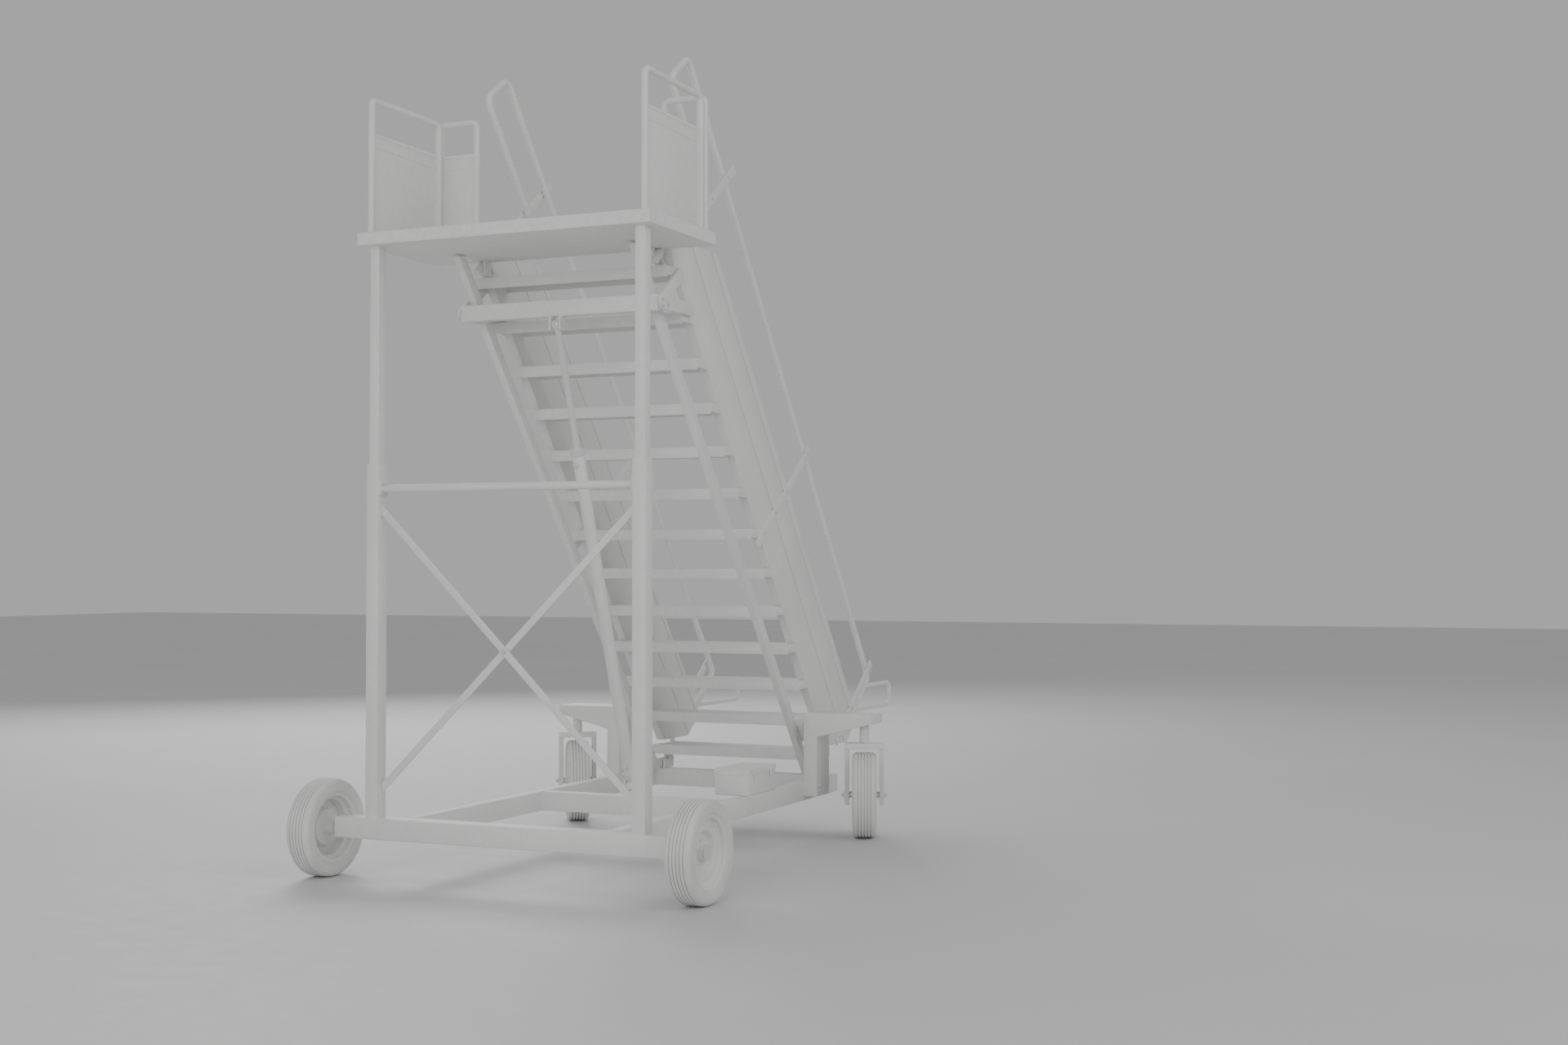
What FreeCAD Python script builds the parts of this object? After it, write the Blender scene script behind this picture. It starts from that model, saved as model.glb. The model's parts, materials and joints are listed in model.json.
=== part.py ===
"""Rolling warehouse ladder: a wheeled chassis, a raised platform on telescopic posts and a lifting flight.

Millimetres, +Z up.  X runs across the ladder, Y from the platform end towards the foot of the flight.
Y in the sheet counts from the front axle.  The finished sub-parts are moved so that the origin is on the
floor, under the middle of the whole ladder.
"""
import FreeCAD, Part
import math
import os
import re

import Sketcher

Vector = FreeCAD.Vector
Rotation = FreeCAD.Rotation

SIZES = [
    ("origin_back", 1708.75, "distance of the part's origin behind the front axle"),
    # chassis
    ("beam_reach", 913, "half length of the front axle beam"),
    ("beam_half", 50, "half depth of the front axle beam along Y"),
    ("frame_low", 195, "underside of the chassis tubes"),
    ("frame_high", 295, "top of the chassis tubes"),
    ("frame_wall", 4, "wall of the chassis tubes"),
    ("side_inner", 518, "inner face of a side beam"),
    ("side_outer", 578, "outer face of a side beam"),
    ("side_end", 2640, "rear end of the side beams"),
    ("middle_front", 1200, "front face of the middle cross-member"),
    ("rear_front", 2500, "front face of the rear cross-member"),
    ("member_deep", 60, "depth of a cross-member along Y"),
    # wheels
    ("tyre_radius", 232.5, "outer radius of all four tyres"),
    ("tyre_half", 65, "half width of a tyre"),
    ("tread_half", 46, "half width of the flat part of the tyre tread"),
    ("shoulder", 9, "drop of the tyre shoulder"),
    ("groove_deep", 6, "depth of the tyre grooves"),
    ("groove_half", 2, "half width of a tyre groove"),
    ("seat_radius", 158, "radius where tyre and rim meet"),
    ("lip_radius", 165, "outer radius of the rim lips"),
    ("dish_radius", 88, "radius of the step in the wheel disc"),
    ("hub_radius", 33, "outer radius of the wheel hub"),
    ("hub_out", 31, "reach of the hub towards the outer side of the wheel"),
    ("hub_in", 58, "reach of the hub towards the inner side of the wheel"),
    ("dish_out", 29, "outer face of the wheel disc"),
    ("front_track", 996, "half track of the front wheels"),
    ("stub_radius", 20, "radius of a front stub axle"),
    ("sleeve_radius", 17, "radius of the sleeve on a rear axle"),
    ("running_gap", 0.05, "radial clearance of a running fit"),
    # swivelling rear wheels
    ("swivel_across", 900, "distance of a kingpin from the middle plane"),
    ("swivel_back", 2235, "Y of both kingpins"),
    ("heading_right", 21, "resting angle of the right swivel fork"),
    ("heading_left", 33, "resting angle of the left swivel fork"),
    ("fork_half", 108, "half width of a swivel fork"),
    ("fork_leg", 25, "thickness of a fork leg"),
    ("fork_deep", 30, "half depth of a fork leg"),
    ("fork_low", 178, "lower end of a fork leg"),
    ("crown_low", 483, "underside of the fork crown"),
    ("crown_high", 515, "top of the fork crown"),
    ("kingpin_radius", 15, "radius of a kingpin"),
    ("kingpin_top", 640, "upper end of a kingpin"),
    ("axle_radius", 12.5, "radius of a rear axle"),
    ("boss_radius", 26, "radius of the kingpin boss"),
    ("bracket_leg", 655, "outer face of a bracket leg"),
    ("bracket_low", 219, "underside of a bracket leg"),
    ("bracket_tip", 971, "outer end of a bracket arm"),
    ("bracket_top", 675, "top of a bracket arm"),
    ("bracket_root", 546, "underside of the arm at its root"),
    ("bracket_end", 624, "underside of the arm at its tip"),
    ("bracket_half", 90, "half depth of a bracket along Y"),
    ("bracket_round", 22, "rounding of the bracket corners"),
    # telescopic posts
    ("post_across", 712, "distance of a post from the middle plane"),
    ("outer_wide", 33, "half width of an outer post"),
    ("outer_deep", 36, "half depth of an outer post"),
    ("outer_top", 1966, "top of the outer posts"),
    ("post_wall", 4, "wall of the posts"),
    ("inner_wide", 25, "half width of an inner post"),
    ("inner_deep", 28, "half depth of an inner post"),
    ("inner_low", 905, "lower end of the inner posts"),
    ("pad_high", 60, "height of a slide pad"),
    ("pad_gap", 0.4, "clearance of the slide pads"),
    ("tie_high", 1848, "height of the tie tube"),
    ("tie_radius", 19, "radius of the tie tube"),
    ("tie_end", 679, "half length of the tie tube"),
    ("brace_low", 430, "lower end of the cross braces"),
    ("brace_high", 1750, "upper end of the cross braces"),
    ("brace_wide", 34, "width of a cross brace"),
    ("brace_thick", 8, "thickness of a cross brace"),
    # platform
    ("deck_across", 782, "half width of the platform"),
    ("deck_front", -70, "front edge of the platform"),
    ("deck_rear", 605, "rear edge of the platform"),
    ("deck_low", 3003, "underside of the platform"),
    ("deck_high", 3063, "walking surface of the platform"),
    ("deck_plate", 4, "thickness of the walking plate"),
    ("deck_soffit", 3, "thickness of the closing sheet below"),
    ("deck_rim", 40, "width of the platform's edge tubes"),
    ("guard_across", 734, "distance of a side guard from the middle plane"),
    ("guard_front", -26, "front post of a side guard"),
    ("guard_rear", 533, "rear post of a side guard"),
    ("guard_high", 3705, "top of the guards"),
    ("guard_radius", 16, "radius of a guard tube"),
    ("guard_wall", 2.5, "wall of a guard tube"),
    ("guard_bend", 30, "bend radius of a guard tube"),
    ("wing_line", 565, "Y of the return guards"),
    ("wing_inner", 528, "inner post of a return guard"),
    ("wing_outer", 742, "outer post of a return guard"),
    ("panel_high", 3548, "top of the guard panels"),
    ("panel_half", 1, "half thickness of a guard panel"),
    # flight, measured along the slope and square to it from a point on the lower edge of the stringers
    ("slope", 52.4, "angle of the flight"),
    ("flight_back", 505, "Y of the flight's reference point"),
    ("flight_up", 3000, "Z of the flight's reference point"),
    ("stringer_inner", 497, "inner face of a stringer"),
    ("stringer_outer", 542, "outer face of a stringer"),
    ("stringer_low", 68, "lower edge of a stringer square to the slope"),
    ("stringer_high", 526, "upper edge of a stringer square to the slope"),
    ("stringer_wall", 8, "wall of a stringer"),
    ("stringer_end", 3460, "lower end of a stringer along the slope"),
    ("seam_half", 7, "half width of the grooves in the outer face of a stringer"),
    ("seam_fine", 4.5, "half width of the grooves in the inner face of a stringer"),
    ("seam_deep", 6, "depth of a groove"),
    ("flight_foot", 455, "lower end of the stringers"),
    ("flight_crown", 3058, "upper end of the stringers"),
    ("tread_count", 13, "number of treads"),
    ("tread_first", 2921.4, "top of the first tread below the platform"),
    ("tread_rise", 207.3, "rise from tread to tread"),
    ("tread_deep", 235, "depth of a tread"),
    ("tread_back", 55, "height of a tread's back apron"),
    ("tread_front", 45, "height of a tread's front apron"),
    ("tread_sheet", 4, "thickness of a tread"),
    ("tread_reach", 542, "half length of a tread"),
    # handrails
    ("rail_across", 519.5, "distance of a handrail from the middle plane"),
    ("rail_radius", 17, "radius of a handrail"),
    ("rail_wall", 3, "wall of a handrail"),
    ("rail_out", 858, "height of a handrail square to the slope"),
    ("return_out", 625, "height of the handrail's upper return"),
    ("rail_start", -583, "upper end of a handrail along the slope"),
    ("rail_end", 3420, "lower end of a handrail along the slope"),
    ("rail_bend", 50, "bend radius of a handrail"),
    ("bar_half", 23, "half width of a stanchion"),
    ("bar_thick", 8, "thickness of a stanchion"),
    ("bar_upper", 75, "upper stanchion along the slope"),
    ("bar_middle", 1780, "middle stanchion along the slope"),
    ("bar_lower", 3345, "lower stanchion along the slope"),
    ("loop_radius", 12, "radius of a grab loop tube"),
    ("loop_high", 762, "upper bar of a grab loop"),
    ("loop_low", 628, "lower bar of a grab loop"),
    ("loop_end", 3638, "rear end of a grab loop"),
    # lifting sub-frame
    ("rail_inner", 467, "inner face of a sub-frame rail"),
    ("rail_outer", 503, "outer face of a sub-frame rail"),
    ("rail_under", -155, "underside of a sub-frame rail square to the slope"),
    ("rail_over", -103, "top of a sub-frame rail square to the slope"),
    ("rail_foot", 3275, "lower end of a sub-frame rail along the slope"),
    ("rail_sheet", 4, "wall of a sub-frame rail"),
    ("shoe_gap", 40, "distance of the foot shoes below the lower edge of the flight"),
    ("cross_front", 455, "front face of the lifting cross-beam"),
    ("cross_rear", 505, "rear face of the lifting cross-beam"),
    ("cross_low", 2690, "underside of the lifting cross-beam"),
    ("cross_high", 2770, "top of the lifting cross-beam"),
    ("cross_half", 545.5, "half length of the lifting cross-beam"),
    ("arm_outer", 565, "outer face of a guide arm"),
    # pivots
    ("foot_back", 2591.6, "Y of the sub-frame's foot pivot"),
    ("foot_up", 345, "Z of the sub-frame's foot pivot"),
    ("head_back", 620, "Y of the hinge between flight and platform"),
    ("head_up", 2960, "Z of the hinge between flight and platform"),
    ("foot_pin", 12, "radius of the foot pins"),
    ("head_pin", 10, "radius of the pins at the upper hinges"),
    ("hinge_gap", 3, "radial clearance of the hinge between flight and platform"),
    ("eye_gap", 1, "radial clearance of the rod's eye"),
    # lift cylinder
    ("lift_foot_back", 1230, "Y of the cylinder's foot pin"),
    ("lift_foot_up", 345, "Z of the cylinder's foot pin"),
    ("lift_head_back", 460, "Y of the cylinder's head pin"),
    ("lift_head_up", 2650, "Z of the cylinder's head pin"),
    ("barrel_radius", 31, "outer radius of the cylinder barrel"),
    ("barrel_bore", 25, "bore of the cylinder barrel"),
    ("barrel_end", 1805, "length of the barrel from its foot pin"),
    ("lift_rod", 17, "radius of the piston rod"),
    # power pack
    ("pack_inner", 379, "inner side of the power pack"),
    ("pack_outer", 574, "outer side of the power pack"),
    ("pack_front", 1430, "front of the power pack"),
    ("pack_rear", 1770, "rear of the power pack"),
    ("pack_high", 430, "top of the power pack"),
]

doc = FreeCAD.newDocument("rolling_ladder")
sheet = doc.addObject("Spreadsheet::Sheet", "sizes")
for row, (alias, number, meaning) in enumerate(SIZES, start=1):
    sheet.set(f"A{row}", meaning)
    sheet.set(f"B{row}", str(number))
    sheet.setAlias(f"B{row}", alias)
doc.recompute()

RIGHT, LEFT = 1, -1
SIDES = {"right": RIGHT, "left": LEFT}
pieces = []


# ---- expressions ----

def ref(text):
    """Turn the plain size names in an expression into references to the sheet."""
    return re.sub(r"\b([a-z]\w+)\b(?!\()", r"sizes.\1", str(text))


def value(text):
    """The present value of an expression, in millimetres or degrees."""
    return float(sheet.evalExpression(ref(text)))


def across(side, low, high):
    """The span along X from low to high, on the right side or mirrored to the left."""
    return (low, high) if side == RIGHT else (f"-({high})", f"-({low})")


def flight_point(along, out):
    """Expressions for Y and Z of a point measured along the slope and square to it."""
    back = f"flight_back + ({along}) * cos(slope) + ({out}) * sin(slope)"
    up = f"flight_up - ({along}) * sin(slope) + ({out}) * cos(slope)"
    return back, up


# ---- solids ----

def bind_base(solid, x, y, z):
    for axis, text in zip("xyz", (x, y, z)):
        solid.setExpression(f"Placement.Base.{axis}", ref(text))


def spans(solid, x, y, z):
    for side, (low, high) in zip(("Length", "Width", "Height"), (x, y, z)):
        solid.setExpression(side, ref(f"({high}) - ({low})"))


def block(x, y, z):
    """A box between three pairs of expressions."""
    solid = doc.addObject("Part::Box", "Block")
    spans(solid, x, y, z)
    bind_base(solid, x[0], y[0], z[0])
    return solid


def slab(x, along, out):
    """A box laid on the slope: x across, `along` down the slope, `out` square to it."""
    solid = doc.addObject("Part::Box", "Slab")
    spans(solid, x, along, out)
    solid.Placement.Rotation = Rotation(Vector(-1, 0, 0), value("slope"))
    solid.setExpression("Placement.Rotation.Angle", ref("slope"))
    bind_base(solid, x[0], *flight_point(along[0], out[0]))
    return solid


def tilted(x, start, length, thick, angle):
    """A bar in a plane of constant X that rises from `start` at an angle, `thick` square to it."""
    solid = doc.addObject("Part::Box", "Bar")
    spans(solid, x, ("0", length), ("0", thick))
    solid.Placement.Rotation = Rotation(Vector(1, 0, 0), value(angle))
    bind_base(solid, x[0], *start)
    return solid


def round_x(x, y, z, radius):
    """A cylinder along X."""
    solid = doc.addObject("Part::Cylinder", "Round")
    solid.Placement.Rotation = Rotation(Vector(0, 1, 0), 90)
    solid.setExpression("Height", ref(f"({x[1]}) - ({x[0]})"))
    solid.setExpression("Radius", ref(radius))
    bind_base(solid, x[0], y, z)
    return solid


def round_z(x, y, z, radius):
    """A vertical cylinder."""
    solid = doc.addObject("Part::Cylinder", "Round")
    solid.setExpression("Height", ref(f"({z[1]}) - ({z[0]})"))
    solid.setExpression("Radius", ref(radius))
    bind_base(solid, x, y, z[0])
    return solid


LIFT_LEAN = "atan((lift_foot_back - lift_head_back) / (lift_head_up - lift_foot_up))"


def round_lift(start, end, radius):
    """A cylinder on the lift axis, between two distances from the foot pin."""
    solid = doc.addObject("Part::Cylinder", "Round")
    solid.Placement.Rotation = Rotation(Vector(1, 0, 0), value(LIFT_LEAN))
    solid.setExpression("Placement.Rotation.Angle", ref(LIFT_LEAN))
    solid.setExpression("Height", ref(f"({end}) - ({start})"))
    solid.setExpression("Radius", ref(radius))
    back = f"lift_foot_back - ({start}) * sin({LIFT_LEAN})"
    up = f"lift_foot_up + ({start}) * cos({LIFT_LEAN})"
    bind_base(solid, "0", back, up)
    return solid


def fuse(*solids):
    joined = doc.addObject("Part::MultiFuse", "Joined")
    joined.Shapes = list(solids)
    joined.Refine = True
    return joined


def group(solids):
    together = doc.addObject("Part::Compound", "Group")
    together.Links = list(solids)
    return together


def cut(base, *tools):
    less = doc.addObject("Part::Cut", "Less")
    less.Base = base
    less.Tool = tools[0] if len(tools) == 1 else fuse(*tools)
    return less


def piece(label, solid):
    """Name a finished sub-part, whose label names its file, and move it to the part's origin."""
    solid.Label = label
    present = dict(solid.ExpressionEngine).get(".Placement.Base.y", "0")
    solid.setExpression("Placement.Base.y", f"{present} - sizes.origin_back")
    pieces.append(solid)
    return solid


def hollow(x, y, z, wall, axis):
    """A rectangular tube along the named axis."""
    inner = []
    for name, (low, high) in zip("xyz", (x, y, z)):
        if name == axis:
            inner.append((f"({low}) - 1", f"({high}) + 1"))
        else:
            inner.append((f"({low}) + {wall}", f"({high}) - {wall}"))
    return cut(block(x, y, z), block(*inner))


def outline(body, plane, corners):
    """A closed sketch through corners given as pairs of expressions."""
    sketch = body.newObject("Sketcher::SketchObject", "Outline")
    support = next(item for item in body.Origin.OriginFeatures if item.Role == plane)
    sketch.AttachmentSupport = [(support, "")]
    sketch.MapMode = "FlatFace"
    points = [Vector(value(u), value(v), 0) for u, v in corners]
    following = points[1:] + points[:1]
    sketch.addGeometry([Part.LineSegment(a, b) for a, b in zip(points, following)], False)
    for index, (u, v) in enumerate(corners):
        sketch.addConstraint(Sketcher.Constraint("Coincident", index, 2, (index + 1) % len(corners), 1))
        for kind, text in (("DistanceX", u), ("DistanceY", v)):
            number = sketch.addConstraint(Sketcher.Constraint(kind, -1, 1, index, 1, value(text)))
            sketch.setExpression(f"Constraints[{number}]", ref(text))
    return sketch


def turned(corners):
    """A body turned about the X axis from a profile of (axial, radial) corners."""
    body = doc.addObject("PartDesign::Body", "Turned")
    sketch = outline(body, "XY_Plane", corners)
    feature = body.newObject("PartDesign::Revolution", "Turn")
    feature.Profile = sketch
    feature.ReferenceAxis = (sketch, ["H_Axis"])
    feature.Angle = 360
    sketch.Visibility = False
    return body


def bent_tube(corners, radius, wall, bend):
    """A round tube along straight runs joined by arcs of one bend radius."""
    points = [Vector(*(value(text) for text in corner)) for corner in corners]
    edges = []
    start = points[0]
    for before, corner, after in zip(points, points[1:], points[2:]):
        towards = (before - corner).normalize()
        away = (after - corner).normalize()
        half = towards.getAngle(away) / 2
        reach = value(bend) / math.tan(half)
        centre = corner + (towards + away).normalize() * (value(bend) / math.sin(half))
        first = corner + towards * reach
        last = corner + away * reach
        middle = centre + (corner - centre).normalize() * value(bend)
        edges.append(Part.LineSegment(start, first).toShape())
        edges.append(Part.Arc(first, middle, last).toShape())
        start = last
    edges.append(Part.LineSegment(start, points[-1]).toShape())
    path = Part.Wire(edges)
    facing = (points[1] - points[0]).normalize()

    def sweep(size):
        section = Part.Wire([Part.Circle(points[0], facing, size).toShape()])
        return path.makePipeShell([section], True, False)

    feature = doc.addObject("Part::Feature", "Tube")
    feature.Shape = sweep(value(radius)).cut(sweep(value(radius) - value(wall)))
    feature.Placement = FreeCAD.Placement()
    return feature


# ---- chassis ----

FRAME = ("frame_low", "frame_high")
BETWEEN_BEAMS = ("-side_inner", "side_inner")


def chassis():
    beam = hollow(("-beam_reach", "beam_reach"), ("-beam_half", "beam_half"), FRAME, "frame_wall", "x")
    caps = [block(across(side, "beam_reach - 12", "beam_reach"), ("-beam_half", "beam_half"), FRAME)
            for side in SIDES.values()]
    piece("front_axle_beam", fuse(beam, *caps))
    for name, side in SIDES.items():
        span = across(side, "side_inner", "side_outer")
        piece(f"side_beam_{name}", hollow(span, ("beam_half", "side_end"), FRAME, "frame_wall", "y"))
    members = [hollow(BETWEEN_BEAMS, (front, f"{front} + member_deep"), FRAME, "frame_wall", "x")
               for front in ("middle_front", "rear_front")]
    piece("cross_members", group(members))
    stubs = [round_x(across(side, "beam_reach", "front_track + hub_out + 1"), "0", "tyre_radius", "stub_radius")
             for side in SIDES.values()]
    piece("stub_axles", group(stubs))
    caps = [round_x(across(side, "front_track + hub_out + 1", "front_track + hub_out + 10"), "0", "tyre_radius",
                    "hub_radius")
            for side in SIDES.values()]
    piece("hub_caps", group(caps))
    pack = ("pack_inner", "pack_outer"), ("pack_front", "pack_rear")
    piece("power_pack", block(*pack, ("frame_high", "pack_high")))


def posts():
    for name, side in SIDES.items():
        wide = across(side, "post_across - outer_wide", "post_across + outer_wide")
        depth = ("-outer_deep", "outer_deep")
        tube = hollow(wide, depth, ("frame_high", "outer_top"), "post_wall", "z")
        piece(f"outer_post_{name}", tube)
    slide_pads()
    lugs = []
    for side in SIDES.values():
        span = across(side, "tie_end - 8", "tie_end")
        lugs.append(block(span, ("-30", "34"), ("tie_high - 30", "tie_high + 38")))
    piece("tie_lugs", group(lugs))
    piece("tie_tube", round_x(("-tie_end + 8", "tie_end - 8"), "0", "tie_high", "tie_radius"))
    piece("lock_rings", group([lock_ring(side) for side in SIDES.values()]))
    cross_braces()


def slide_pads():
    """Four-sided guide collars inside the outer posts, just below their rims."""
    pads = []
    for side in SIDES.values():
        height = ("outer_top - pad_high", "outer_top - 1")
        outer_x = across(side, "post_across - outer_wide + post_wall", "post_across + outer_wide - post_wall")
        inner_x = across(side, "post_across - inner_wide - pad_gap", "post_across + inner_wide + pad_gap")
        outer = block(outer_x, ("-outer_deep + post_wall", "outer_deep - post_wall"), height)
        hole = block(inner_x, ("-inner_deep - pad_gap", "inner_deep + pad_gap"),
                     ("outer_top - pad_high - 1", "outer_top"))
        pads.append(cut(outer, hole))
    piece("slide_collars", group(pads))


def lock_ring(side):
    """The pull ring of a post lock: an upright eye behind the post."""
    span = across(side, "post_across - 6", "post_across + 6")
    plate = block(span, ("outer_deep", "outer_deep + 60"), ("tie_high - 50", "tie_high + 58"))
    eye = block(across(side, "post_across - 7", "post_across + 7"), ("outer_deep + 20", "outer_deep + 42"),
                ("tie_high - 20", "tie_high + 28"))
    return cut(plate, eye)


def cross_braces():
    """Two flat bars that cross between the outer posts, trimmed square to the posts."""
    inner = "post_across - outer_wide"
    angle = f"atan((brace_high - brace_low) / (2 * ({inner})))"
    bars = []
    for layer, lean in (("-brace_thick - 1", -1), ("1", 1)):
        bar = doc.addObject("Part::Box", "Brace")
        bar.Placement.Rotation = Rotation(Vector(0, -lean, 0), value(angle))
        bar.setExpression("Placement.Rotation.Angle", ref(angle))
        run = f"2 * ({inner}) / cos({angle}) + 2 * brace_wide"
        spans(bar, ("0", run), ("0", "brace_thick"), ("0", "brace_wide"))
        start_z = "brace_low" if lean > 0 else "brace_high"
        lower = f"brace_wide / 2 * cos({angle})"
        shift = f"{lean} * brace_wide / 2 * sin({angle})"
        begin = f"-({inner}) - brace_wide * cos({angle}) + {shift}"
        height = f"{start_z} - {lean} * brace_wide * sin({angle}) - {lower}"
        bind_base(bar, begin, layer, height)
        window = block((f"-({inner})", inner), ("-100", "100"), ("frame_high", "outer_top"))
        trimmed = doc.addObject("Part::Common", "Trimmed")
        trimmed.Base = bar
        trimmed.Tool = window
        bars.append(trimmed)
    piece("cross_braces", group(bars))


def swivel_bracket(name, side):
    """Inverted L beside the chassis: its leg stands on the side beam, its arm carries the kingpin."""
    corners = [
        ("side_outer", "bracket_low"),
        ("bracket_leg", "bracket_low"),
        ("bracket_leg", "bracket_root"),
        ("bracket_tip", "bracket_end"),
        ("bracket_tip", "bracket_top"),
        ("side_outer + bracket_round", "bracket_top"),
        ("side_outer + bracket_round * 0.3", "bracket_top - bracket_round * 0.3"),
        ("side_outer", "bracket_top - bracket_round"),
    ]
    if side == LEFT:
        corners = [(f"-({u})", v) for u, v in reversed(corners)]
    body = doc.addObject("PartDesign::Body", "Bracket")
    sketch = outline(body, "XZ_Plane", corners)
    pad = body.newObject("PartDesign::Pad", "Depth")
    pad.Profile = sketch
    pad.setExpression("Length", ref("2 * bracket_half"))
    sketch.Visibility = False
    body.setExpression("Placement.Base.y", ref("swivel_back + bracket_half"))
    where = f"{side} * swivel_across"
    boss = round_z(where, "swivel_back", ("crown_high + 2", "bracket_top - 20"), "boss_radius")
    bore = round_z(where, "swivel_back", ("crown_high", "kingpin_top + 3"), "kingpin_radius + running_gap")
    piece(f"swivel_bracket_{name}", cut(fuse(body, boss), bore))


def pivot_lugs():
    plates = []
    for side in SIDES.values():
        for low, high in (("rail_inner - 3", "rail_inner + 9"), ("rail_outer - 9", "rail_outer + 3")):
            span = across(side, low, high)
            upright = block(span, ("rear_front", "rear_front + member_deep"), ("frame_high", "foot_up - 26"))
            shelf = block(span, ("rear_front", "foot_back + 26"), ("frame_high", "foot_up"))
            nose = round_x(span, "foot_back", "foot_up", "26")
            wide = across(side, f"{low} - 1", f"{high} + 1")
            bore = round_x(wide, "foot_back", "foot_up", "foot_pin + running_gap")
            plates.append(cut(fuse(upright, shelf, nose), bore))
    for side in SIDES.values():
        span = across(side, "22", "32")
        upright = block(span, ("lift_foot_back - 28", "lift_foot_back + 28"), ("frame_high", "lift_foot_up + 30"))
        bore = round_x(across(side, "21", "33"), "lift_foot_back", "lift_foot_up", "foot_pin + running_gap")
        plates.append(cut(upright, bore))
    piece("pivot_lugs", group(plates))
    pins = [round_x(across(side, "rail_inner - 9", "rail_outer + 9"), "foot_back", "foot_up", "foot_pin")
            for side in SIDES.values()]
    pins.append(round_x(("-38", "38"), "lift_foot_back", "lift_foot_up", "foot_pin"))
    piece("pivot_pins", group(pins))


# ---- wheels ----

GROOVES = (-34, -17, 0, 17, 34)


def tyre_profile():
    """Half-round shoulders and five grooves round the tread, as (axial, radial) corners."""
    corners = [("-48.6", "seat_radius + 0.3"), ("-50.6", "lip_radius + 0.4"), ("-56.4", "lip_radius + 0.4"),
               ("-tyre_half", "seat_radius + 26"),
               ("-tyre_half", "tyre_radius - 30"), ("-tyre_half + 6", "tyre_radius - shoulder - 4"),
               ("-tread_half - 4", "tyre_radius - 2.5")]
    for centre in GROOVES:
        corners += [(f"{centre} - groove_half", "tyre_radius"),
                    (f"{centre} - groove_half", "tyre_radius - groove_deep"),
                    (f"{centre} + groove_half", "tyre_radius - groove_deep"),
                    (f"{centre} + groove_half", "tyre_radius")]
    corners += [("tread_half + 4", "tyre_radius - 2.5"), ("tyre_half - 6", "tyre_radius - shoulder - 4"),
                ("tyre_half", "tyre_radius - 30"), ("tyre_half", "seat_radius + 26"),
                ("56.4", "lip_radius + 0.4"), ("50.6", "lip_radius + 0.4"), ("48.6", "seat_radius + 0.3")]
    return corners


def rim_profile(outward, bore):
    """Hub, stepped disc and barrel with two lips; `outward` says which way the dish faces."""
    face = [("-hub_out", bore), ("-hub_out", "hub_radius"), ("-3", "hub_radius"), ("-3", "dish_radius - 7"),
            ("-dish_out", "dish_radius + 7"), ("-dish_out", "seat_radius - 9"), ("-50", "seat_radius - 7"),
            ("-56", "lip_radius - 5"), ("-56", "lip_radius"), ("-51", "lip_radius"), ("-49", "seat_radius"),
            ("49", "seat_radius"), ("51", "lip_radius"), ("56", "lip_radius"), ("56", "lip_radius - 5"),
            ("50", "seat_radius - 7"), ("26", "seat_radius - 9"), ("18", "seat_radius - 24"),
            ("-dish_out + 7", "seat_radius - 26"), ("-dish_out + 7", "dish_radius + 10"), ("5", "dish_radius - 4"),
            ("5", "hub_radius"), ("hub_in", "hub_radius"), ("hub_in", bore)]
    return [(f"{-outward} * ({u})", v) for u, v in face]


def place(body, x, y, z, heading=None):
    bind_base(body, x, y, z)
    if heading:
        body.Placement.Rotation = Rotation(Vector(0, 0, 1), value(heading))
        body.setExpression("Placement.Rotation.Angle", ref(heading))
    return body


def front_wheel(name, side):
    where = (f"{side} * front_track", "0", "tyre_radius")
    piece(f"tyre_front_{name}", place(turned(tyre_profile()), *where))
    piece(f"rim_front_{name}", place(turned(rim_profile(side, "stub_radius + running_gap")), *where))


def rear_wheel(name, side):
    heading = f"heading_{name}"
    where = (f"{side} * swivel_across", "swivel_back", "tyre_radius")
    piece(f"tyre_rear_{name}", place(turned(tyre_profile()), *where, heading))
    piece(f"rim_rear_{name}", place(turned(rim_profile(side, "sleeve_radius + running_gap")), *where, heading))
    ground = (f"{side} * swivel_across", "swivel_back", "0", heading)
    rod = round_x(("-fork_half - 9", "fork_half + 9"), "0", "tyre_radius", "axle_radius")
    sleeve = round_x(("-fork_half + fork_leg", "fork_half - fork_leg"), "0", "tyre_radius", "sleeve_radius")
    piece(f"axle_rear_{name}", place(fuse(rod, sleeve), *ground))
    depth = ("-fork_deep", "fork_deep")
    legs = [block(across(hand, "fork_half - fork_leg", "fork_half"), depth, ("fork_low", "crown_high"))
            for hand in SIDES.values()]
    crown = block(("-fork_half", "fork_half"), ("-fork_deep - 8", "fork_deep + 8"), ("crown_low", "crown_high"))
    kingpin = round_z("0", "0", ("crown_low", "kingpin_top"), "kingpin_radius")
    bore = round_x(("-fork_half - 1", "fork_half + 1"), "0", "tyre_radius", "axle_radius")
    piece(f"swivel_fork_{name}", place(cut(fuse(*legs, crown, kingpin), bore), *ground))


# ---- platform ----

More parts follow.
